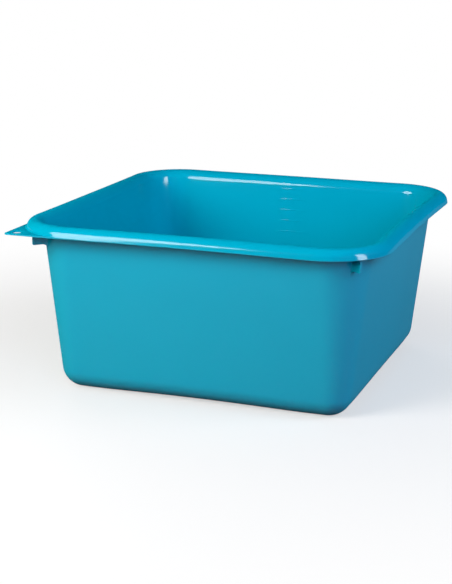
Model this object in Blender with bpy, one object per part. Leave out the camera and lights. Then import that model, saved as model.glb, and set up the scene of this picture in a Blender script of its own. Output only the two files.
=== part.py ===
"""Square washing-up basin moulded in turquoise polypropylene: a drafted tub with a round-cornered
floor, a rolled rim with a turned-down lip, four ribs under the corners of the rim, a hanging eye
and a scale of raised litre marks.

The real basin is one moulding. Here each of its features is a body of its own, with SEAM between
neighbours. Metres, +Z up, the floor level at z = 0, the front of the basin towards -Y.
"""

import math

import bmesh
import bpy
import numpy as np
from mathutils import Matrix, Vector

# Overall shape
RIM_WIDTH = 0.343  # over the lip, side to side
HEIGHT = 0.160  # from the standing level to the crown of the rim
WALL = 0.0018  # floor, walls and rim
WALL_DRAFT = math.radians(6.5)
SEAM = 0.0003  # gap between two features

# Rolled rim
RIM_OVERHANG = 0.0169  # outside of the wall to the outside of the lip
LIP_DROP = 0.0095  # crown down to the lower edge of the lip
LIP_STRIP = 0.0032  # straight, flared strip at the foot of the lip, with its round edge
LIP_DRAFT = math.radians(13)
CROWN_INSET = 0.0085  # outside of the lip to the top of the crown
EDGE_ROUND = 0.0005
LIP_CORNER_RADIUS = 0.0578

# Tub
WALL_CORNER_RADIUS = 0.0384  # outside, at the level of the lip
FOOT_CORNER_RADIUS = 0.0213  # outside, at the top of the floor fillet
FLOOR_FILLET = 0.0203  # outside
RIM_PULL_IN = 0.0014  # the middle of each side of the rim bows inwards
FOOT_BULGE = 0.0014  # the middle of each wall bows outwards at the foot
FLOOR_ARCH = 0.0015  # the floor stands on its corners, and its middle is this much higher
RIM_ARCH = 0.0003
PAD_SHARE = 0.14  # flat share of each half side, from the corner
GATE_RADIUS = 0.0022  # where the plastic entered, in the middle of the underside
GATE_DEPTH = 0.0008

# Ribs under the corners of the rim
RIB_THICKNESS = 0.0022
RIB_DEPTH = 0.0120  # below the lower edge of the lip
RIB_SETBACK = 0.0005  # from the inside of the lip
RIB_ROOT_RADIUS = 0.0060
RIB_TOE_RADIUS = 0.0010

# Hanging eye, in the front left corner
EYE_THICKNESS = 0.0013
EYE_TIP_RADIUS = 0.0030
EYE_HOLE_RADIUS = 0.0045
EYE_HOLE_INSET = 0.0090  # hole's centre to the outer edges
EYE_END_WIDTH = 0.0010  # where the eye runs out along the lip
EYE_EDGE_ROUND = 0.0004

# Litre marks, on the inside of the back wall
LITRE = 0.001
MARK_COUNT = 6
MARK_WIDTH = 0.0245
LONG_MARK_WIDTH = 0.0310
LONG_MARK_LITRES = 8
MARK_HEIGHT = 0.0012
MARK_RELIEF = 0.0005
MARK_FREEBOARD = 0.0100  # the top mark stays this far below the crown
MARK_ROUND = 0.0002

# Sampling of the curves
CORNER_STEPS = 12
RIM_STEPS = 8
UNDERSIDE_STEPS = 5
FILLET_STEPS = 7
WALL_STEPS = 3
VOLUME_STEPS = 80
ARC_STEPS = 6

TURQUOISE = (0.0, 0.328, 0.462, 1.0)

HALF_WIDTH = RIM_WIDTH / 2
LIP_LEVEL = HEIGHT - LIP_DROP
SIDE_PLACES = (-1, PAD_SHARE - 1, -0.6, -0.3, 0, 0.3, 0.6, 1 - PAD_SHARE)
FLOOR_RINGS = (0.3, 0.6, 1 - PAD_SHARE)


# Sections of the basin

def rise_along(place):
    """How far a point shares in the arch: 0 near the corners and 1 at the middle of a side."""
    return max(0.0, 1 - (place / (1 - PAD_SHARE)) ** 2) ** 1.5


def outline(half, radius, bow):
    """A square with round corners and bowed sides, as (x, y, share in the arch) points.

    A positive bow pulls the middle of each side inwards. The corner arcs turn a little more
    or less than a quarter, so that they run into the bowed sides without a kink.
    """
    centre = half - radius
    turn = math.atan2(2 * bow, centre)
    side_end = centre - radius * math.sin(turn)
    side_face = centre + radius * math.cos(turn)
    sag = side_end * math.tan(turn) / 2
    quarter = [
        (side_face - sag * (1 - place**2), side_end * place, rise_along(place))
        for place in SIDE_PLACES
    ]
    for step in range(CORNER_STEPS):
        angle = -turn + (math.pi / 2 + 2 * turn) * step / CORNER_STEPS
        x = centre + radius * math.cos(angle)
        y = centre + radius * math.sin(angle)
        quarter.append((x, y, 0.0))
    points = []
    for turns in range(4):
        spin = Matrix.Rotation(turns * math.pi / 2, 2)
        for x, y, rise in quarter:
            points.append((*(spin @ Vector((x, y))), rise))
    return points


def bow_at(z):
    share = min(z / LIP_LEVEL, 1)
    return RIM_PULL_IN * share - FOOT_BULGE * (1 - share)


def arch_at(z):
    share = min(z / LIP_LEVEL, 1)
    return RIM_ARCH * share + FLOOR_ARCH * (1 - share)


def ring(half, radius, z):
    points = outline(half, radius, bow_at(z))
    return [Vector((x, y, z + arch_at(z) * rise)) for x, y, rise in points]


def smooth_step(share):
    return share * share * (3 - 2 * share)


def floor_ring(share, half, radius, z):
    """A ring of the floor at a share of its width. The whole middle is lifted by the arch."""
    inward = smooth_step(min(share / (1 - PAD_SHARE), 1))
    points = outline(half * share, radius * share, bow_at(0) * share)
    return [Vector((x, y, z + FLOOR_ARCH * (1 - (1 - rise) * inward))) for x, y, rise in points]


def wall_half(z):
    """Half width of the outside of the wall."""
    return HALF_WIDTH - RIM_OVERHANG - (LIP_LEVEL - z) * math.tan(WALL_DRAFT)


def fillet_centre():
    """Distance from the middle of the basin to the axis of the floor fillet."""
    return wall_half(FLOOR_FILLET) - FLOOR_FILLET / math.cos(WALL_DRAFT)


def foot_radius(half):
    """Corner radius within the floor fillet. It shrinks with the width, as in an offset."""
    top = fillet_centre() + FLOOR_FILLET * math.cos(WALL_DRAFT)
    return max(FOOT_CORNER_RADIUS - (top - half), EDGE_ROUND)


def wall_radius(z):
    """Corner radius of the outside of the wall."""
    foot = FLOOR_FILLET * (1 - math.sin(WALL_DRAFT))
    share = (z - foot) / (LIP_LEVEL - foot)
    return FOOT_CORNER_RADIUS + (WALL_CORNER_RADIUS - FOOT_CORNER_RADIUS) * share


def rim_radius(inset):
    """Corner radius of the rim at a distance in from the lip."""
    if inset > RIM_OVERHANG:
        return WALL_CORNER_RADIUS - (inset - RIM_OVERHANG)
    share = inset / RIM_OVERHANG
    return LIP_CORNER_RADIUS + (WALL_CORNER_RADIUS - LIP_CORNER_RADIUS) * share


def roll_radius():
    """Radius of the inner side of the rim, from the crown down into the wall."""
    face = RIM_OVERHANG + WALL / math.cos(WALL_DRAFT) - LIP_DROP * math.tan(WALL_DRAFT)
    tangent = math.cos(WALL_DRAFT) - (1 - math.sin(WALL_DRAFT)) * math.tan(WALL_DRAFT)
    return (face - CROWN_INSET) / tangent


def roll_arc(depth, steps):
    """The inner side of the rim from its crown down, at a depth under its surface."""
    radius = roll_radius()
    points = []
    for step in range(steps + 1):
        angle = math.pi / 2 - (math.pi / 2 - WALL_DRAFT) * step / steps
        inset = CROWN_INSET + (radius - depth) * math.cos(angle)
        points.append((inset, HEIGHT - radius + (radius - depth) * math.sin(angle)))
    return points


def strip_inset(z, depth):
    """Distance in from the lip to its flared strip, at a depth under its surface."""
    return (z - LIP_LEVEL - EDGE_ROUND) * math.tan(LIP_DRAFT) + depth / math.cos(LIP_DRAFT)


def lip_arc(depth, steps):
    """The outer side of the rim, a quarter ellipse from the flared strip to the crown."""
    base = LIP_LEVEL + LIP_STRIP
    foot = Vector((strip_inset(base, depth), base))
    crown = Vector((CROWN_INSET, HEIGHT - depth))
    knee = Vector((strip_inset(crown.y, depth), crown.y))
    points = []
    for step in range(steps + 1):
        angle = math.pi / 2 * step / steps
        point = knee + (foot - knee) * (1 - math.sin(angle)) + (crown - knee) * (1 - math.cos(angle))
        points.append((point.x, point.y))
    return points


def rim_ring(inset, z):
    return ring(HALF_WIDTH - inset, rim_radius(inset), z)


# Modelling helpers

def closed_loop(bm, points):
    verts = [bm.verts.new(point) for point in points]
    for vert, following in zip(verts, verts[1:] + verts[:1]):
        bm.edges.new((vert, following))
    return verts


def loop_edges(verts):
    return [vert_pair_edge(a, b) for a, b in zip(verts, verts[1:] + verts[:1])]


def vert_pair_edge(a, b):
    return next(edge for edge in a.link_edges if edge.other_vert(a) is b)


def extrude_ring(bm, verts, points):
    """Extrudes a closed ring of vertices and sets the new ring on the points."""
    grown = bmesh.ops.extrude_edge_only(bm, edges=loop_edges(verts))["geom"]
    new = {item for item in grown if isinstance(item, bmesh.types.BMVert)}
    following = []
    for vert, point in zip(verts, points):
        mate = next(edge.other_vert(vert) for edge in vert.link_edges if edge.other_vert(vert) in new)
        mate.co = point
        following.append(mate)
    return following


def loft(rings, around=False):
    """A closed skin through the rings. It ends in two flat faces, or closes on itself."""
    bm = bmesh.new()
    first = closed_loop(bm, rings[0])
    last = first
    for points in rings[1:]:
        last = extrude_ring(bm, last, points)
    if around:
        bmesh.ops.bridge_loops(bm, edges=loop_edges(last) + loop_edges(first))
    else:
        bm.faces.new(first)
        bm.faces.new(last)
    return bm


def extrude_face(bm, faces, shift):
    """Thickens flat faces by a vector."""
    grown = bmesh.ops.extrude_face_region(bm, geom=faces)["geom"]
    verts = [item for item in grown if isinstance(item, bmesh.types.BMVert)]
    bmesh.ops.translate(bm, verts=verts, vec=shift)


def moulded_polypropylene(name):
    material = bpy.data.materials.new(name + "_polypropylene")
    material.use_nodes = True
    shader = material.node_tree.nodes["Principled BSDF"]
    shader.inputs["Base Color"].default_value = TURQUOISE
    shader.inputs["Roughness"].default_value = 0.22
    shader.inputs["Metallic"].default_value = 0.0
    shader.inputs["IOR"].default_value = 1.49
    return material


def new_mesh(name, bm, sharp=math.radians(40)):
    bmesh.ops.recalc_face_normals(bm, faces=bm.faces)
    mesh = bpy.data.meshes.new(name)
    bm.to_mesh(mesh)
    bm.free()
    mesh.shade_smooth()
    mesh.set_sharp_from_angle(angle=sharp)
    mesh.materials.append(moulded_polypropylene(name))
    return mesh


def new_object(name, mesh):
    part = bpy.data.objects.new(name, mesh)
    bpy.context.scene.collection.objects.link(part)
    return part


# Features of the basin

def wall_rings(depth, foot, top):
    """Rings up a face of the wall, between two (half width, level) points of its section."""
    rings = []
    for step in range(1, WALL_STEPS + 1):
        share = step / WALL_STEPS
        half = foot[0] + (top[0] - foot[0]) * share
        z = foot[1] + (top[1] - foot[1]) * share
        rings.append(ring(half, wall_radius(z) - depth, z))
    return rings


def face_rings(depth):
    """Rings of the outside (depth 0) or the inside of the tub, from the floor up."""
    centre = fillet_centre()
    radius = FLOOR_FILLET - depth
    rings = [floor_ring(share, centre, foot_radius(centre), depth) for share in FLOOR_RINGS]
    for step in range(FILLET_STEPS + 1):
        angle = -math.pi / 2 + (math.pi / 2 - WALL_DRAFT) * step / FILLET_STEPS
        half = centre + radius * math.cos(angle)
        foot = (half, FLOOR_FILLET + radius * math.sin(angle))
        rings.append(ring(half, foot_radius(half), foot[1]))
    inset, level = roll_arc(WALL - depth, 1)[-1]
    top = (
        HALF_WIDTH - inset - SEAM * math.sin(WALL_DRAFT),
        level - SEAM * math.cos(WALL_DRAFT),
    )
    return rings + wall_rings(depth, foot, top)


def gate_rings():
    """The stub left in the middle of the underside, where the plastic entered the mould."""
    def circle(radius, z):
        points = outline(radius, radius * 0.98, 0)
        return [Vector((x, y, z)) for x, y, _ in points]

    return [
        circle(GATE_RADIUS, FLOOR_ARCH - GATE_DEPTH),
        circle(GATE_RADIUS, FLOOR_ARCH),
    ]


def build_tub_shell():
    """Floor, floor fillet and the four drafted walls."""
    outside = gate_rings() + face_rings(0)
    inside = face_rings(WALL)
    tub = loft(outside + inside[::-1])
    return new_object("tub_shell", new_mesh("tub_shell", tub))


def build_rolled_rim():
    """The rim: lip, crown and the roll into the wall, open below."""
    inner = LIP_LEVEL + EDGE_ROUND
    section = [(EDGE_ROUND, LIP_LEVEL), (0, inner)]
    section += lip_arc(0, RIM_STEPS)
    section += roll_arc(0, RIM_STEPS)[1:]
    section += roll_arc(WALL, UNDERSIDE_STEPS)[::-1]
    section += lip_arc(WALL, UNDERSIDE_STEPS)[::-1][1:]
    section += [(WALL, inner), (WALL - EDGE_ROUND, LIP_LEVEL)]
    rim = loft([rim_ring(inset, z) for inset, z in section], around=True)
    return new_object("rolled_rim", new_mesh("rolled_rim", rim))


def diagonal(half, radius):
    """Distance from the middle to a round corner, along the diagonal."""
    return (half - radius) * math.sqrt(2) + radius


def rim_diagonal(inset):
    return diagonal(HALF_WIDTH - inset, rim_radius(inset))


def wall_diagonal(z):
    """Diagonal distance to the outside corner of the wall, with the seam's gap."""
    return diagonal(wall_half(z) + SEAM / math.cos(WALL_DRAFT), wall_radius(z) + SEAM)


def arc(centre, radius, start, end):
    """Points of an arc in the rib's plane. Angles are in quarter turns."""
    points = []
    for step in range(ARC_STEPS + 1):
        angle = math.pi / 2 * (start + (end - start) * step / ARC_STEPS)
        points.append((centre[0] + radius * math.cos(angle), centre[1] + radius * math.sin(angle)))
    return points


def rib_outline():
    """The rib as (distance along the diagonal, z), from its toe up, in and down the wall."""
    depth = WALL + SEAM
    foot = LIP_LEVEL - RIB_DEPTH
    tip = rim_diagonal(lip_arc(WALL, 1)[0][0]) - RIB_SETBACK
    under = [(rim_diagonal(inset), z) for inset, z in lip_arc(depth, UNDERSIDE_STEPS)]
    under += [(rim_diagonal(inset), z) for inset, z in roll_arc(depth, UNDERSIDE_STEPS)[1:]]
    distances, levels = zip(*under[::-1])
    points = arc((tip - RIB_TOE_RADIUS, foot + RIB_TOE_RADIUS), RIB_TOE_RADIUS, -1, 0)
    points.append((tip, float(np.interp(tip, distances, levels))))
    points += [(distance, z) for distance, z in under if distance < tip]
    root = foot - RIB_ROOT_RADIUS
    centre = (wall_diagonal(root) + RIB_ROOT_RADIUS, root)
    points.append((wall_diagonal(root), root))
    points += arc(centre, RIB_ROOT_RADIUS, 2, 1)[1:]
    return points


def build_corner_ribs():
    """One upright rib in the diagonal of each corner, from the wall out to the lip."""
    bm = bmesh.new()
    verts = [bm.verts.new((distance, -RIB_THICKNESS / 2, z)) for distance, z in rib_outline()]
    extrude_face(bm, [bm.faces.new(verts)], Vector((0, RIB_THICKNESS, 0)))
    mesh = new_mesh("corner_rib", bm)
    corners = {
        "back_right": 45,
        "back_left": 135,
        "front_left": 225,
        "front_right": 315,
    }
    for corner, degrees in corners.items():
        rib = new_object("corner_rib_" + corner, mesh)
        rib.rotation_euler.z = math.radians(degrees)


def eye_outline():
    """The eye in plan, in the corner towards +X and +Y: two sides, a round tip, the lip's arc."""
    lip_centre = HALF_WIDTH - LIP_CORNER_RADIUS
    radius = LIP_CORNER_RADIUS + SEAM
    end = math.acos((LIP_CORNER_RADIUS - EYE_END_WIDTH) / radius)
    tip_centre = HALF_WIDTH - EYE_TIP_RADIUS
    points = [(HALF_WIDTH, lip_centre + radius * math.sin(end))]
    points += arc((tip_centre, tip_centre), EYE_TIP_RADIUS, 0, 1)
    for step in range(CORNER_STEPS * 2 + 1):
        angle = (math.pi / 2 - end) - (math.pi / 2 - 2 * end) * step / (CORNER_STEPS * 2)
        x = lip_centre + radius * math.cos(angle)
        y = lip_centre + radius * math.sin(angle)
        if step == 0:
            points.append((x, HALF_WIDTH))
        points.append((x, y))
    return points


def build_hanging_eye():
    """A flat eye that fills the front left corner outside the lip, with a round hole."""
    bm = bmesh.new()
    closed_loop(bm, [(x, y, 0) for x, y in eye_outline()])
    centre = HALF_WIDTH - EYE_HOLE_INSET
    place = Matrix.Translation((centre, centre, 0))
    bmesh.ops.create_circle(bm, segments=24, radius=EYE_HOLE_RADIUS, matrix=place)
    filled = bmesh.ops.triangle_fill(bm, use_beauty=True, use_dissolve=False, edges=bm.edges)
    faces = [item for item in filled["geom"] if isinstance(item, bmesh.types.BMFace)]
    extrude_face(bm, faces, Vector((0, 0, EYE_THICKNESS)))
    eye = new_object("hanging_eye", new_mesh("hanging_eye", bm))
    eye.location.z = LIP_LEVEL
    eye.rotation_euler.z = math.pi
    rounding = eye.modifiers.new("round_edges", "BEVEL")
    rounding.width = EYE_EDGE_ROUND
    rounding.segments = 2
    rounding.limit_method = "ANGLE"
    rounding.angle_limit = math.radians(50)


def inner_area(z):
    """Area of the water surface at a level."""
    centre = fillet_centre()
    radius = FLOOR_FILLET - WALL
    if z < FLOOR_FILLET - radius * math.sin(WALL_DRAFT):
        half = centre + math.sqrt(max(radius**2 - (FLOOR_FILLET - z) ** 2, 0))
        corner = foot_radius(half)
    else:
        half = wall_half(z) - WALL / math.cos(WALL_DRAFT)
        corner = wall_radius(z) - WALL
    points = outline(half, corner, bow_at(z))
    return sum(a[0] * b[1] - b[0] * a[1] for a, b in zip(points, points[1:] + points[:1])) / 2


def filling_curve():
    """Levels, and the litres that the basin holds up to each."""
    levels = np.linspace(WALL, HEIGHT - MARK_FREEBOARD, VOLUME_STEPS)
    areas = np.array([inner_area(z) for z in levels])
    slices = (areas[1:] + areas[:-1]) / 2 * np.diff(levels)
    lift = FLOOR_ARCH / 2 * areas[0]
    litres = np.concatenate([[0], np.cumsum(slices)]) / LITRE - lift / LITRE
    return levels, litres


def build_litre_marks():
    """A raised bar for each litre, one above the other, at the middle of the back wall."""
    levels, litres = filling_curve()
    highest = int(litres[-1])
    for mark in range(highest, highest - MARK_COUNT, -1):
        width = LONG_MARK_WIDTH if mark == LONG_MARK_LITRES else MARK_WIDTH
        z = float(np.interp(mark, litres, levels))
        bm = bmesh.new()
        size = Matrix.Diagonal((width, MARK_RELIEF, MARK_HEIGHT, 1))
        bmesh.ops.create_cube(bm, size=1, matrix=size)
        bmesh.ops.bevel(
            bm,
            geom=bm.edges[:],
            offset=MARK_ROUND,
            offset_type="OFFSET",
            segments=1,
            profile=0.5,
            affect="EDGES",
            material=-1,
        )
        name = f"litre_mark_{mark:02d}"
        bar = new_object(name, new_mesh(name, bm))
        face = wall_half(z) - WALL / math.cos(WALL_DRAFT) - bow_at(z)
        stand_off = SEAM + MARK_RELIEF / 2
        bar.location.y = face - stand_off * math.cos(WALL_DRAFT)
        bar.location.z = z + stand_off * math.sin(WALL_DRAFT)
        bar.rotation_euler.x = -WALL_DRAFT


def main():
    for item in list(bpy.data.objects):
        bpy.data.objects.remove(item, do_unlink=True)
    build_tub_shell()
    build_rolled_rim()
    build_corner_ribs()
    build_hanging_eye()
    build_litre_marks()


main()
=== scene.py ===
import math

import bmesh
import bpy
from mathutils import Matrix, Vector


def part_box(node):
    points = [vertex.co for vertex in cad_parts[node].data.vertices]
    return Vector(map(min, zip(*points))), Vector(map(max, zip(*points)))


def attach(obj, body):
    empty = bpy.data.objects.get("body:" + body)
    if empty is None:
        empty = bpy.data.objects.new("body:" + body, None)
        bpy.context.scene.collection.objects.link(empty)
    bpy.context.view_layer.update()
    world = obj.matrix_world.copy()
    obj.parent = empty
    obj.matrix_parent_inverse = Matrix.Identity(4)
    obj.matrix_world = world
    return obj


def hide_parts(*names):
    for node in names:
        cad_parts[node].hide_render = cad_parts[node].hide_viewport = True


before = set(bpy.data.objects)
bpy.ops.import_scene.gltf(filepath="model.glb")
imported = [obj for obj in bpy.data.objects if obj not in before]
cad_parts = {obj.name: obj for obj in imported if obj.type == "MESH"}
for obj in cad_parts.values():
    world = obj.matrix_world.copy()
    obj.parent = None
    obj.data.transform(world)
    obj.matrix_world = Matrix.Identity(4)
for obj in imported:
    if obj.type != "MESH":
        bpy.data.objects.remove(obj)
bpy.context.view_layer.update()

# A square washing-up basin, moulded in one shot of glossy turquoise polypropylene. One unbroken
# skin runs from the gate under the floor up the walls, over the rolled rim and down the inside.
# Ribs, hanging eye and litre marks grow out of it with the small root radii of a moulding.
# Metres, +Z up, the standing level at z = 0, the front of the basin towards -Y.

BODY = "root"

rim_low, rim_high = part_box("rolled_rim")
eye_low, eye_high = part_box("hanging_eye")

# Rolled rim
RIM_ARCH = 0.0003  # the rim's sides rise this much in their middle
HALF_WIDTH = rim_high.x
LIP_LEVEL = rim_low.z
CROWN_LEVEL = rim_high.z - RIM_ARCH
WALL = 0.0018
RIM_OVERHANG = 0.0169  # outside of the lip to the outside of the wall
LIP_STRIP = 0.0032  # straight, flared strip at the foot of the lip, with its round edge
LIP_DRAFT = math.radians(13)
CROWN_INSET = 0.0085  # outside of the lip to the top of the crown
EDGE_ROUND = 0.0005
LIP_CORNER_RADIUS = 0.0578
LIP_CENTRE = HALF_WIDTH - LIP_CORNER_RADIUS
RIM_PULL_IN = 0.0014  # the sides bow in this much at the rim

# Tub
WALL_DRAFT = math.radians(6.5)
WALL_CORNER_RADIUS = 0.0384  # outside, at the level of the lip
FOOT_CORNER_RADIUS = 0.0213  # outside, at the top of the floor fillet
FLOOR_FILLET = 0.0203
FOOT_BULGE = 0.0014  # and out this much at the foot
FLOOR_ARCH = 0.0015  # the basin stands on its corners, and the floor arches between them
PAD_SHARE = 0.14  # share of each half side, next to its corner, that stands flat
GATE_RADIUS = 0.0022
GATE_DEPTH = 0.0008
GATE_CORNER = 0.98  # its corner radius over its half width, so that it is all but round
GATE_SECTION = ((0.35, -0.06), (0.7, 0.03), (0.9, 0.0), (1.0, 0.12), (1.0, 1.0), (1.15, 1.0))

# Ribs under the corners of the rim
RIB_THICKNESS = 0.0022
RIB_DEPTH = 0.0120
RIB_SETBACK = 0.0005  # from the inside of the lip
RIB_ROOT_RADIUS = 0.0060  # where its lower edge runs into the wall
RIB_TOE_RADIUS = 0.0010
RIB_FLARE = 0.0009  # root radius against the wall and the rim
RIB_EDGE_ROUND = 0.0003
RIB_SINK = 0.0005  # how far the rib reaches into the plastic

# Hanging eye
EYE_THICKNESS = eye_high.z - eye_low.z
EYE_TIP_RADIUS = 0.0030
EYE_HOLE_RADIUS = 0.0045
EYE_HOLE_INSET = 0.0090
EYE_EDGE_ROUND = 0.0004
SHARP = math.radians(50)  # an edge that turns more than this is rounded
EYE_SINK = 0.00045  # how far the eye reaches into the lip
EYE_RUN_OUT = 0.00005  # width of the eye where it runs out along the lip
EYE_ROOT_RADIUS = 0.0009
EYE_ROOT_SHARE = 0.6  # of the eye's width at most, where the eye is narrow

# Litre marks
MARK_RELIEF = 0.00015
MARK_ROUND = 0.00007
MARK_SINK = 0.0005  # how far a bar reaches into the wall

# Surface of the plastic
FLOW_WAVE = 0.035  # length of the slow waves in the gloss
FLOW_HEIGHT = 0.00009
POLISH_GRAIN = 0.0012  # the real polish is finer, and is drawn as coarse as the render can show
POLISH_HEIGHT = 0.0000015

# Sampling of the curves
SIDE_STEPS = 32
CORNER_STEPS = 28
ROLL_STEPS = 24
FILLET_STEPS = 20
WALL_STEPS = 14
EDGE_STEPS = 4
FLOOR_STEPS = 14
FLOOR_START = 0.03  # share of the floor's width at which its rings begin, around the gate
HOLE_STEPS = 48
TIP_STEPS = 12
ROOT_STEPS = 6
RIB_COLUMNS = 44
RIB_ROWS = 22


# Sections of the basin

def rise_along(place):
    """How far a point shares in the arch: 0 near the corners and 1 at the middle of a side."""
    return max(0.0, 1 - (place / (1 - PAD_SHARE)) ** 2) ** 1.5


def outline(half, radius, bow):
    """A square with round corners and bowed sides, as (x, y, share in the arch) points."""
    centre = half - radius
    turn = math.atan2(2 * bow, centre)
    side_end = centre - radius * math.sin(turn)
    side_face = centre + radius * math.cos(turn)
    sag = side_end * math.tan(turn) / 2
    quarter = []
    for step in range(SIDE_STEPS):
        place = 2 * step / SIDE_STEPS - 1
        quarter.append((side_face - sag * (1 - place**2), side_end * place, rise_along(place)))
    for step in range(CORNER_STEPS):
        angle = -turn + (math.pi / 2 + 2 * turn) * step / CORNER_STEPS
        x = centre + radius * math.cos(angle)
        y = centre + radius * math.sin(angle)
        quarter.append((x, y, 0.0))
    points = []
    for turns in range(4):
        spin = Matrix.Rotation(turns * math.pi / 2, 2)
        for x, y, rise in quarter:
            points.append((*(spin @ Vector((x, y))), rise))
    return points


def bow_at(z):
    """How far the sides bow in at a level. Below nought they bow out."""
    share = min(z / LIP_LEVEL, 1)
    return RIM_PULL_IN * share - FOOT_BULGE * (1 - share)


def arch_at(z):
    """How far the middle of a side rises above its corners, at a level."""
    share = min(z / LIP_LEVEL, 1)
    return RIM_ARCH * share + FLOOR_ARCH * (1 - share)


def ring(half, radius, z):
    """A ring round the basin, of a half width and a corner radius, at a level."""
    points = outline(half, radius, bow_at(z))
    return [Vector((x, y, z + arch_at(z) * rise)) for x, y, rise in points]


def smooth_step(share):
    return share * share * (3 - 2 * share)


def floor_ring(share, half, radius, z):
    """A ring of the floor at a share of its width. The whole middle is lifted by the arch."""
    inward = smooth_step(min(share / (1 - PAD_SHARE), 1))
    points = outline(half * share, radius * share, bow_at(0) * share)
    return [Vector((x, y, z + FLOOR_ARCH * (1 - (1 - rise) * inward))) for x, y, rise in points]


def wall_half(z):
    """Half width of the outside of the wall."""
    return HALF_WIDTH - RIM_OVERHANG - (LIP_LEVEL - z) * math.tan(WALL_DRAFT)


def fillet_centre():
    """Half width of the flat floor, over which the fillet's centre lies."""
    return wall_half(FLOOR_FILLET) - FLOOR_FILLET / math.cos(WALL_DRAFT)


def foot_radius(half):
    """Corner radius within the floor fillet. It shrinks with the width, as in an offset."""
    top = fillet_centre() + FLOOR_FILLET * math.cos(WALL_DRAFT)
    return max(FOOT_CORNER_RADIUS - (top - half), EDGE_ROUND)


def wall_radius(z):
    """Corner radius of the outside of the wall."""
    foot = FLOOR_FILLET * (1 - math.sin(WALL_DRAFT))
    share = (z - foot) / (LIP_LEVEL - foot)
    return FOOT_CORNER_RADIUS + (WALL_CORNER_RADIUS - FOOT_CORNER_RADIUS) * share


def rim_radius(inset):
    """Corner radius of the rim at a distance in from the lip."""
    if inset > RIM_OVERHANG:
        return WALL_CORNER_RADIUS - (inset - RIM_OVERHANG)
    share = inset / RIM_OVERHANG
    return LIP_CORNER_RADIUS + (WALL_CORNER_RADIUS - LIP_CORNER_RADIUS) * share


def roll_radius():
    """Radius of the inner side of the rim, from the crown down into the wall."""
    drop = CROWN_LEVEL - LIP_LEVEL
    face = RIM_OVERHANG + WALL / math.cos(WALL_DRAFT) - drop * math.tan(WALL_DRAFT)
    tangent = math.cos(WALL_DRAFT) - (1 - math.sin(WALL_DRAFT)) * math.tan(WALL_DRAFT)
    return (face - CROWN_INSET) / tangent


def roll_arc(depth):
    """The inner side of the rim from its crown down, at a depth under its surface."""
    radius = roll_radius()
    points = []
    for step in range(ROLL_STEPS + 1):
        angle = math.pi / 2 - (math.pi / 2 - WALL_DRAFT) * step / ROLL_STEPS
        inset = CROWN_INSET + (radius - depth) * math.cos(angle)
        points.append((inset, CROWN_LEVEL - radius + (radius - depth) * math.sin(angle)))
    return points


def strip_inset(z, depth):
    """Distance in from the lip to its flared strip, at a depth under its surface."""
    return (z - LIP_LEVEL - EDGE_ROUND) * math.tan(LIP_DRAFT) + depth / math.cos(LIP_DRAFT)


def lip_arc(depth):
    """The outer side of the rim, a quarter ellipse from the flared strip to the crown."""
    base = LIP_LEVEL + LIP_STRIP
    foot = Vector((strip_inset(base, depth), base))
    crown = Vector((CROWN_INSET, CROWN_LEVEL - depth))
    knee = Vector((strip_inset(crown.y, depth), crown.y))
    points = []
    for step in range(ROLL_STEPS + 1):
        angle = math.pi / 2 * step / ROLL_STEPS
        point = knee + (foot - knee) * (1 - math.sin(angle))
        point += (crown - knee) * (1 - math.cos(angle))
        points.append((point.x, point.y))
    return points


def lip_edge():
    """The round lower edge of the lip, from its inner face to its outer face."""
    points = []
    for side, start in ((WALL - EDGE_ROUND, 0), (EDGE_ROUND, 1)):
        for step in range(EDGE_STEPS + 1):
            angle = math.pi / 2 * (start + step / EDGE_STEPS)
            inset = side + EDGE_ROUND * math.cos(angle)
            points.append((inset, LIP_LEVEL + EDGE_ROUND * (1 - math.sin(angle))))
    return points


def strip_points(depth):
    """The flared strip, from the round edge up to the arc of the lip."""
    points = []
    for step in range(1, EDGE_STEPS):
        z = LIP_LEVEL + EDGE_ROUND + (LIP_STRIP - EDGE_ROUND) * step / EDGE_STEPS
        points.append((strip_inset(z, depth), z))
    return points


# Modelling helpers

def closed_loop(bm, points):
    verts = [bm.verts.new(point) for point in points]
    for vert, following in zip(verts, verts[1:] + verts[:1]):
        bm.edges.new((vert, following))
    return verts


def edge_between(a, b):
    return next(edge for edge in a.link_edges if edge.other_vert(a) is b)


def extrude_ring(bm, verts, points):
    """Extrudes a closed ring of vertices and sets the new ring on the points."""
    edges = [edge_between(a, b) for a, b in zip(verts, verts[1:] + verts[:1])]
    grown = bmesh.ops.extrude_edge_only(bm, edges=edges)["geom"]
    new = {item for item in grown if isinstance(item, bmesh.types.BMVert)}
    following = []
    for vert, point in zip(verts, points):
        ends = [edge.other_vert(vert) for edge in vert.link_edges]
        mate = next(end for end in ends if end in new)
        mate.co = point
        following.append(mate)
    return following


def middle(points):
    return sum(points, Vector()) / len(points)


def loft(rings, poles=False):
    """A skin through the rings. It ends in two flat faces, or runs together in two poles."""
    bm = bmesh.new()
    first = closed_loop(bm, rings[0])
    last = first
    for points in rings[1:]:
        last = extrude_ring(bm, last, points)
    if poles:
        for verts in (first, last):
            centre = middle([vert.co for vert in verts])
            tip = extrude_ring(bm, verts, [centre] * len(verts))
            bmesh.ops.pointmerge(bm, verts=tip, merge_co=centre)
    else:
        bm.faces.new(first)
        bm.faces.new(last)
    return bm


def extrude_faces(bm, faces, shift):
    """Thickens flat faces by a vector, and returns the vertices of the new side."""
    grown = bmesh.ops.extrude_face_region(bm, geom=faces)["geom"]
    verts = [item for item in grown if isinstance(item, bmesh.types.BMVert)]
    bmesh.ops.translate(bm, verts=verts, vec=shift)
    return verts


def round_edges(bm, edges, radius):
    bmesh.ops.bevel(
        bm,
        geom=edges,
        offset=radius,
        offset_type="OFFSET",
        segments=4,
        profile=0.5,
        affect="EDGES",
        material=-1,
        clamp_overlap=True,
    )


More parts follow.
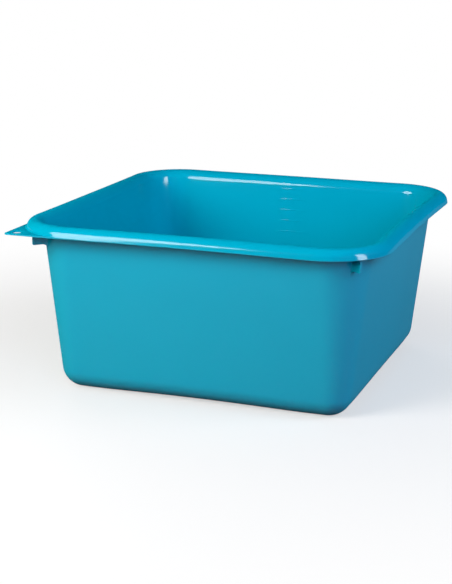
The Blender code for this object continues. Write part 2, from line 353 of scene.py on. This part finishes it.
def moulded_piece(name, bm, nodes, turn=0.0):
    """Turns the mesh about the middle of the basin, and lets it stand for its CAD nodes."""
    bmesh.ops.rotate(bm, verts=bm.verts, matrix=Matrix.Rotation(turn, 3, "Z"))
    bmesh.ops.recalc_face_normals(bm, faces=bm.faces)
    mesh = bpy.data.meshes.new(name)
    bm.to_mesh(mesh)
    bm.free()
    mesh.shade_smooth()
    mesh.materials.append(moulded_polypropylene())
    piece = bpy.data.objects.new(name, mesh)
    bpy.context.scene.collection.objects.link(piece)
    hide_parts(*nodes)
    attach(piece, BODY)
    return piece


# Finishes

def linear(colour, alpha=1.0):
    """The linear colour of an sRGB hex value such as 00aac4."""
    channels = [int(colour[at:at + 2], 16) / 255 for at in (0, 2, 4)]
    bent = [c / 12.92 if c <= 0.04045 else ((c + 0.055) / 1.055) ** 2.4 for c in channels]
    return (*bent, alpha)


def add_node(tree, kind, settings=None, values=None, links=None):
    """Adds a node with its settings, the values of its own sockets and the links into it."""
    node = tree.nodes.new(kind)
    for name, value in (settings or {}).items():
        setattr(node, name, value)
    for socket, value in (values or {}).items():
        node.inputs[socket].default_value = value
    for socket, output in (links or {}).items():
        tree.links.new(output, node.inputs[socket])
    return node


def empty_material(name):
    material = bpy.data.materials.new(name)
    material.use_nodes = True
    material.node_tree.nodes.clear()
    return material


def moulded_polypropylene():
    """Polypropylene, injection moulded in a polished tool and coloured through.

    The masterbatch gives the eye an even, deep turquoise. The polished tool gives small, crisp
    highlights, and the flow and sink of the plastic let them waver a little. The gloss is a thin
    coat of high index, which mirrors a steady share from every side. A plain dielectric would
    lay a white veil over the deep colour at grazing angles.
    """
    name = "polypropylene_injection_moulded"
    if name in bpy.data.materials:
        return bpy.data.materials[name]
    material = empty_material(name)
    tree = material.node_tree
    place = add_node(tree, "ShaderNodeTexCoord").outputs["Object"]
    flow = add_node(
        tree,
        "ShaderNodeTexNoise",
        values={"Scale": 1 / FLOW_WAVE, "Detail": 1.0, "Roughness": 0.4},
        links={"Vector": place},
    )
    grain = add_node(
        tree,
        "ShaderNodeTexNoise",
        values={"Scale": 1 / POLISH_GRAIN, "Detail": 2.0, "Roughness": 0.5},
        links={"Vector": place},
    )
    waves = add_node(
        tree,
        "ShaderNodeBump",
        values={"Strength": 1.0, "Distance": FLOW_HEIGHT},
        links={"Height": flow.outputs["Fac"]},
    )
    surface = add_node(
        tree,
        "ShaderNodeBump",
        values={"Strength": 1.0, "Distance": POLISH_HEIGHT},
        links={"Height": grain.outputs["Fac"], "Normal": waves.outputs["Normal"]},
    ).outputs["Normal"]
    colour = add_node(
        tree,
        "ShaderNodeMix",
        settings={"data_type": "RGBA"},
        values={6: linear("009db4"), 7: linear("00a0b7")},
        links={0: flow.outputs["Fac"]},
    )
    shader = add_node(
        tree,
        "ShaderNodeBsdfPrincipled",
        values={
            "Roughness": 0.2,
            "IOR": 1.49,
            "Specular IOR Level": 0.0,
            "Coat Weight": 0.07,
            "Coat Roughness": 0.085,
            "Coat IOR": 3.0,
        },
        links={"Base Color": colour.outputs[2], "Normal": surface, "Coat Normal": surface},
    )
    add_node(tree, "ShaderNodeOutputMaterial", links={"Surface": shader.outputs[0]})
    return material


def white_sweep():
    """Paper, matt white: a photographer's sweep without a grain that the eye could see.

    The camera, gloss and glass see it white right to the horizon. It keeps the basin's shadow
    close by, and fades out of it further off.
    """
    material = empty_material("paper_matt_white")
    tree = material.node_tree
    rays = add_node(tree, "ShaderNodeLightPath").outputs
    seen = rays["Is Camera Ray"]
    for kind in ("Is Glossy Ray", "Is Transmission Ray"):
        seen = add_node(
            tree,
            "ShaderNodeMath",
            settings={"operation": "MAXIMUM"},
            links={0: seen, 1: rays[kind]},
        ).outputs[0]
    place = add_node(tree, "ShaderNodeTexCoord").outputs["Object"]
    reach = add_node(
        tree, "ShaderNodeVectorMath", settings={"operation": "LENGTH"}, links={0: place}
    ).outputs["Value"]
    fade = add_node(
        tree,
        "ShaderNodeMapRange",
        settings={"interpolation_type": "SMOOTHSTEP"},
        values={
            "From Min": SHADOW_REACH,
            "From Max": WHITE_FROM,
            "To Min": WHITE_IN_SHADOW,
            "To Max": 1.0,
        },
        links={"Value": reach},
    )
    shade = add_node(
        tree,
        "ShaderNodeMix",
        settings={"data_type": "RGBA"},
        values={6: linear(PAPER_AS_LIGHT), 7: linear(PAPER_SEEN)},
        links={0: seen},
    )
    paper = add_node(tree, "ShaderNodeBsdfDiffuse", links={"Color": shade.outputs[2]})
    share = add_node(
        tree,
        "ShaderNodeMath",
        settings={"operation": "MULTIPLY"},
        links={0: seen, 1: fade.outputs["Result"]},
    )
    white = add_node(tree, "ShaderNodeEmission", values={"Strength": 1.0})
    both = add_node(
        tree,
        "ShaderNodeMixShader",
        links={0: share.outputs[0], 1: paper.outputs[0], 2: white.outputs[0]},
    )
    add_node(tree, "ShaderNodeOutputMaterial", links={"Surface": both.outputs[0]})
    return material


# Pieces

def fillet_rings(depth):
    """Rings of the floor fillet, on one face of the plastic."""
    centre = fillet_centre()
    radius = FLOOR_FILLET - depth
    rings = []
    for step in range(FILLET_STEPS + 1):
        angle = -math.pi / 2 + (math.pi / 2 - WALL_DRAFT) * step / FILLET_STEPS
        half = centre + radius * math.cos(angle)
        rings.append(ring(half, foot_radius(half), FLOOR_FILLET + radius * math.sin(angle)))
    return rings


def wall_rings(depth):
    """Rings between the floor fillet and the roll of the rim, on one face of the wall."""
    radius = FLOOR_FILLET - depth
    foot_half = fillet_centre() + radius * math.cos(WALL_DRAFT)
    foot_level = FLOOR_FILLET - radius * math.sin(WALL_DRAFT)
    inset, level = roll_arc(WALL - depth)[-1]
    rings = []
    for step in range(1, WALL_STEPS):
        share = step / WALL_STEPS
        half = foot_half + (HALF_WIDTH - inset - foot_half) * share
        z = foot_level + (level - foot_level) * share
        rings.append(ring(half, wall_radius(z) - depth, z))
    return rings


def floor_rings(depth):
    """Rings of one face of the floor, from around the gate out to the fillet."""
    centre = fillet_centre()
    rings = []
    for step in range(FLOOR_STEPS):
        share = FLOOR_START + (1 - FLOOR_START) * step / FLOOR_STEPS
        rings.append(floor_ring(share, centre, foot_radius(centre), depth))
    return rings


def gate_rings():
    """The stub where the plastic entered the mould, broken off a little uneven."""
    rings = []
    for width, height in GATE_SECTION:
        radius = GATE_RADIUS * width
        z = FLOOR_ARCH - GATE_DEPTH * (1 - height)
        rings.append([Vector((x, y, z)) for x, y, _ in outline(radius, radius * GATE_CORNER, 0)])
    return rings


def rim_rings():
    """From the top of the outside of the wall, under the rim, round the lip and over the crown."""
    section = roll_arc(WALL)[::-1] + lip_arc(WALL)[::-1][1:]
    section += strip_points(WALL)[::-1] + lip_edge() + strip_points(0)
    section += lip_arc(0) + roll_arc(0)[1:]
    return [ring(HALF_WIDTH - inset, rim_radius(inset), z) for inset, z in section]


def make_basin_skin():
    """Floor, walls and rolled rim as one closed skin."""
    outside = gate_rings() + floor_rings(0) + fillet_rings(0) + wall_rings(0)
    inside = floor_rings(WALL) + fillet_rings(WALL) + wall_rings(WALL)
    skin = loft(outside + rim_rings() + inside[::-1], poles=True)
    moulded_piece("basin_skin", skin, ["tub_shell", "rolled_rim"])


def diagonal(half, radius):
    """Distance from the middle to a round corner, along the diagonal."""
    return (half - radius) * math.sqrt(2) + radius


def rim_diagonal(inset):
    return diagonal(HALF_WIDTH - inset, rim_radius(inset))


def resample(points, count):
    """Points at even distances along a polyline."""
    reach = [0.0]
    for a, b in zip(points, points[1:]):
        reach.append(reach[-1] + (b - a).length)
    even = []
    for step in range(count + 1):
        goal = reach[-1] * step / count
        at = next(i for i in range(1, len(reach)) if reach[i] >= goal - 1e-12)
        share = (goal - reach[at - 1]) / (reach[at] - reach[at - 1])
        even.append(points[at - 1].lerp(points[at], share))
    return even


def on_circle(centre, radius, angle):
    return Vector((centre[0] + radius * math.cos(angle), centre[1] + radius * math.sin(angle)))


def arc(centre, radius, start, end, steps=10):
    """Points of an arc. Angles are in quarter turns."""
    points = []
    for step in range(steps + 1):
        angle = math.pi / 2 * (start + (end - start) * step / steps)
        points.append(on_circle(centre, radius, angle))
    return points


def rib_lines():
    """Two lines in the rib's plane, from the wall to the lip: its seat, and its free edge."""
    foot = LIP_LEVEL - RIB_DEPTH
    root = foot - RIB_ROOT_RADIUS
    tip = rim_diagonal(lip_arc(WALL)[0][0]) - RIB_SETBACK
    seat = []
    roll = roll_arc(WALL)[::-1]
    for step in range(WALL_STEPS):
        z = root + (roll[0][1] - root) * step / WALL_STEPS
        seat.append(Vector((diagonal(wall_half(z), wall_radius(z)), z)))
    for inset, z in roll + lip_arc(WALL)[::-1][1:]:
        if rim_diagonal(inset) < tip:
            seat.append(Vector((rim_diagonal(inset), z)))
    before, after = lip_bracket(tip)
    share = (tip - before.x) / (after.x - before.x)
    seat.append(before.lerp(after, share))
    wall = seat[0].x
    free = arc((wall + RIB_ROOT_RADIUS, root), RIB_ROOT_RADIUS, 2, 1)
    free += arc((tip - RIB_TOE_RADIUS, foot + RIB_TOE_RADIUS), RIB_TOE_RADIUS, -1, 0)
    free.append(seat[-1].copy())
    return seat, free


def lip_bracket(tip):
    """The two points under the rim between which the rib's outer edge ends."""
    under = [Vector((rim_diagonal(inset), z)) for inset, z in lip_arc(WALL)[::-1]]
    return next((a, b) for a, b in zip(under, under[1:]) if b.x >= tip)


def distance_to(point, line):
    best = math.inf
    for a, b in zip(line, line[1:]):
        along = (point - a).dot(b - a) / (b - a).length_squared
        best = min(best, (point - a.lerp(b, min(max(along, 0), 1))).length)
    return best


def round_off(distance, radius):
    """How far a surface gives way to an edge radius, at a distance from the edge."""
    if distance >= radius:
        return 0.0
    return radius - math.sqrt(radius**2 - (radius - distance) ** 2)


def sunk(line, depth):
    """A line moved to its left by a depth."""
    moved = []
    for before, point, after in zip(line[:1] + line[:-1], line, line[1:] + line[-1:]):
        way = (after - before).normalized()
        moved.append(point + Vector((-way.y, way.x)) * depth)
    return moved


def make_rib(corner, degrees):
    """An upright rib in the diagonal of a corner, with root radii and rounded free edges."""
    seat, free = rib_lines()
    seat = resample(seat, RIB_COLUMNS)
    free = resample(free, RIB_COLUMNS)
    inner = sunk(seat, RIB_SINK)
    bm = bmesh.new()
    bmesh.ops.create_grid(bm, x_segments=RIB_COLUMNS, y_segments=RIB_ROWS, size=1)
    for vert in bm.verts:
        column = round((vert.co.x + 1) / 2 * RIB_COLUMNS)
        row = (vert.co.y + 1) / 2
        share = (1 - math.cos(math.pi * row)) / 2
        point = inner[column].lerp(free[column], share)
        vert.co = (point.x, 0, point.y)
    far = extrude_faces(bm, bm.faces[:], Vector())
    for vert in bm.verts:
        point = Vector((vert.co.x, vert.co.z))
        half = RIB_THICKNESS / 2 + round_off(distance_to(point, seat), RIB_FLARE)
        half -= round_off(distance_to(point, free), RIB_EDGE_ROUND)
        vert.co.y = -half
    for vert in far:
        vert.co.y *= -1
    bmesh.ops.remove_doubles(bm, verts=bm.verts, dist=1e-6)
    moulded_piece(f"rib_skin_{corner}", bm, [f"corner_rib_{corner}"], math.radians(degrees))


def eye_width(angle):
    """How far the eye stands out from the lip's corner arc, at an angle from +X."""
    way = Vector((math.cos(angle), math.sin(angle)))
    reach = LIP_CORNER_RADIUS / max(way)
    tip = Vector((1, 1)) * (LIP_CORNER_RADIUS - EYE_TIP_RADIUS)
    along = tip.dot(way)
    across = (tip - way * along).length
    if across < EYE_TIP_RADIUS:
        rounded = along + math.sqrt(EYE_TIP_RADIUS**2 - across**2)
        if (way * reach - tip).x > 0 and (way * reach - tip).y > 0:
            reach = min(reach, rounded)
    return reach - LIP_CORNER_RADIUS


def eye_span():
    """The angles between which the eye stands out from the lip."""
    end = math.acos(LIP_CORNER_RADIUS / (LIP_CORNER_RADIUS + EYE_RUN_OUT))
    return end, math.pi / 2 - end


def make_hanging_eye():
    """A flat eye in the front left corner, with a round hole. Its root radius along the lip is
    made apart.
    """
    start, end = eye_span()
    inner = LIP_CORNER_RADIUS - EYE_SINK
    tip_centre = HALF_WIDTH - EYE_TIP_RADIUS
    points = [Vector((HALF_WIDTH, LIP_CENTRE + LIP_CORNER_RADIUS * math.sin(start)))]
    points += arc((tip_centre, tip_centre), EYE_TIP_RADIUS, 0, 1, TIP_STEPS)
    points.append(Vector((LIP_CENTRE + LIP_CORNER_RADIUS * math.sin(start), HALF_WIDTH)))
    for step in range(CORNER_STEPS * 2 + 1):
        angle = end - (end - start) * step / (CORNER_STEPS * 2)
        points.append(on_circle((LIP_CENTRE, LIP_CENTRE), inner, angle))
    bm = bmesh.new()
    closed_loop(bm, [(point.x, point.y, LIP_LEVEL) for point in points])
    centre = HALF_WIDTH - EYE_HOLE_INSET
    place = Matrix.Translation((centre, centre, LIP_LEVEL))
    bmesh.ops.create_circle(bm, segments=HOLE_STEPS, radius=EYE_HOLE_RADIUS, matrix=place)
    filled = bmesh.ops.triangle_fill(bm, use_beauty=True, use_dissolve=False, edges=bm.edges)
    faces = [item for item in filled["geom"] if isinstance(item, bmesh.types.BMFace)]
    extrude_faces(bm, faces, Vector((0, 0, EYE_THICKNESS)))
    round_edges(bm, [edge for edge in bm.edges if edge.calc_face_angle(0) > SHARP], EYE_EDGE_ROUND)
    moulded_piece("hanging_eye_skin", bm, ["hanging_eye"], math.pi)


def make_eye_root():
    """The root radius where the top of the eye runs up into the lip."""
    start, end = eye_span()
    top = LIP_LEVEL + EYE_THICKNESS
    rings = []
    steps = CORNER_STEPS * 3
    for step in range(1, steps):
        angle = start + (end - start) * step / steps
        radius = min(EYE_ROOT_RADIUS, eye_width(angle) * EYE_ROOT_SHARE)
        section = [Vector((-EYE_SINK, top - EYE_SINK)), Vector((-EYE_SINK, top + radius))]
        section += arc((radius, top + radius), radius, 2, 3, ROOT_STEPS)
        section.append(Vector((radius, top - EYE_SINK)))
        points = []
        for out, z in section:
            place = on_circle((LIP_CENTRE, LIP_CENTRE), LIP_CORNER_RADIUS + out, angle)
            points.append(Vector((place.x, place.y, z)))
        rings.append(points)
    moulded_piece("hanging_eye_root", loft(rings), ["hanging_eye"], math.pi)


def make_litre_mark(node):
    """A low bar with soft edges, sunk into the inside of the back wall."""
    low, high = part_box(node)
    z = (low.z + high.z) / 2
    width = high.x - low.x
    height = (high.z - low.z) / math.cos(WALL_DRAFT)
    face = wall_half(z) - WALL / math.cos(WALL_DRAFT) - bow_at(z)
    slope = Matrix.Rotation(-WALL_DRAFT, 4, "X")
    shape = Matrix.Diagonal((width, MARK_RELIEF + MARK_SINK, height, 1))
    shape = Matrix.Translation((0, (MARK_SINK - MARK_RELIEF) / 2, 0)) @ shape
    bm = bmesh.new()
    bmesh.ops.create_cube(bm, size=1, matrix=Matrix.Translation((0, face, z)) @ slope @ shape)
    round_edges(bm, bm.edges[:], MARK_ROUND)
    moulded_piece(node.replace("litre_mark", "litre_bar"), bm, [node])


def make_pieces():
    make_basin_skin()
    corners = {"back_right": 45, "back_left": 135, "front_left": 225, "front_right": 315}
    for corner, degrees in corners.items():
        make_rib(corner, degrees)
    make_hanging_eye()
    make_eye_root()
    for node in sorted(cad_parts):
        if node.startswith("litre_mark"):
            make_litre_mark(node)


# Studio

FLOOR_HALF = 12.0
SHADOW_REACH = 0.14  # from here the floor fades out of its shadows
WHITE_FROM = 0.64  # and from here it is all white
WHITE_IN_SHADOW = 0.5  # share of plain white under the shadows
PAPER_SEEN = "f2ece4"
PAPER_AS_LIGHT = "141414"  # the sweep throws almost no light back on the basin
CAMERA_PLACE = Vector((0.43337, -1.27566, 0.42109))
CAMERA_AZIMUTH = math.radians(19.607)  # to the right of the basin's front
CAMERA_TILT = math.radians(14.535)  # downwards
CAMERA_ROLL = math.radians(0.355)
LENS = 87.68  # mm, on a frame 36 mm high

SKY = "a8d0ff"
SKY_LOW = 0.05  # strength at the horizon
SKY_HIGH = 0.04
SKY_BLEND = 0.10  # height at which the one has run into the other

BOX = "RECTANGLE"
MIDDLE = (0, 0, 0.1)
SHINE_NEARER = 0.02  # a lamp for the gloss stands this share nearer, clear of the one that fills
# The gloss shows the left and the right softbox, as in the photo. The others only fill: the
# front wall, the front right corner, the right wall, the back and the inside.
SOFTBOXES = (
    # name, shape, place, size, watts on the plastic and in the gloss, aim, colour
    ("left", "ELLIPSE", (-0.64, -0.945, 0.61), (0.72, 0.72), 15.8, 24, MIDDLE, "fffdfa"),
    ("right", BOX, (1.335, -0.475, 0.60), (0.36, 1.08), 0, 25, (0, 0, 0.6), "ffffff"),
    ("front", BOX, (-0.14, -0.72, 0.55), (0.35, 0.35), 0.7, 0, (-0.03, -0.14, 0.1), "ffffff"),
    ("front_window", BOX, (1.15, -1.35, 0.70), (0.8, 0.8), 14.5, 0, MIDDLE, "b4d4ff"),
    ("side", BOX, (0.78, 0.05, 0.42), (0.40, 0.40), 1.4, 0, MIDDLE, "d8e8ff"),
    ("back", BOX, (-1.15, 1.55, 0.48), (0.9, 0.9), 17, 0, MIDDLE, "eef4ff"),
    ("upper_right", BOX, (1.45, 0, 1.12), (0.8, 0.8), 11.5, 0, MIDDLE, "dfeaff"),
)


def make_floor():
    bm = bmesh.new()
    bmesh.ops.create_grid(bm, x_segments=1, y_segments=1, size=FLOOR_HALF)
    mesh = bpy.data.meshes.new("floor")
    bm.to_mesh(mesh)
    bm.free()
    mesh.materials.append(white_sweep())
    floor = bpy.data.objects.new("floor", mesh)
    bpy.context.scene.collection.objects.link(floor)


def make_camera():
    data = bpy.data.cameras.new("camera")
    data.sensor_fit = "VERTICAL"
    data.sensor_height = 36
    data.lens = LENS
    camera = bpy.data.objects.new("camera", data)
    bpy.context.scene.collection.objects.link(camera)
    turn = Matrix.Rotation(CAMERA_AZIMUTH, 4, "Z")
    turn @= Matrix.Rotation(math.pi / 2 - CAMERA_TILT, 4, "X")
    turn @= Matrix.Rotation(CAMERA_ROLL, 4, "Z")
    camera.matrix_world = Matrix.Translation(CAMERA_PLACE) @ turn
    bpy.context.scene.camera = camera


def make_lamp(name, shape, place, size, watts, aim, colour):
    """An area lamp of a width and a height, turned towards a point."""
    data = bpy.data.lights.new(name, "AREA")
    data.shape = shape
    data.size, data.size_y = size
    data.energy = watts
    data.color = linear(colour)[:3]
    lamp = bpy.data.objects.new(name, data)
    bpy.context.scene.collection.objects.link(lamp)
    lamp.visible_camera = False
    turn = (place - aim).to_track_quat("Z", "Y")
    lamp.matrix_world = Matrix.Translation(place) @ turn.to_matrix().to_4x4()
    return lamp


def make_softbox(name, shape, place, size, fill, shine, aim, colour):
    """A softbox with the watts that light the plastic, and the watts that its gloss shows."""
    place = Vector(place)
    aim = Vector(aim)
    if fill:
        make_lamp(f"{name}_fill", shape, place, size, fill, aim, colour).visible_glossy = False
    if shine:
        place = place.lerp(aim, SHINE_NEARER)
        make_lamp(f"{name}_shine", shape, place, size, shine, aim, colour).visible_diffuse = False


def make_lights():
    for softbox in SOFTBOXES:
        make_softbox(*softbox)
    world = bpy.data.worlds.new("studio")
    world.use_nodes = True
    tree = world.node_tree
    place = add_node(tree, "ShaderNodeTexCoord").outputs["Generated"]
    height = add_node(tree, "ShaderNodeSeparateXYZ", links={"Vector": place}).outputs["Z"]
    haze = add_node(
        tree,
        "ShaderNodeMapRange",
        settings={"interpolation_type": "SMOOTHSTEP"},
        values={"From Min": 0.0, "From Max": SKY_BLEND, "To Min": SKY_LOW, "To Max": SKY_HIGH},
        links={"Value": height},
    )
    background = tree.nodes["Background"]
    background.inputs["Color"].default_value = linear(SKY)
    tree.links.new(haze.outputs["Result"], background.inputs["Strength"])
    bpy.context.scene.world = world


make_pieces()
make_floor()
make_camera()
make_lights()
bpy.context.scene.view_settings.view_transform = "Standard"
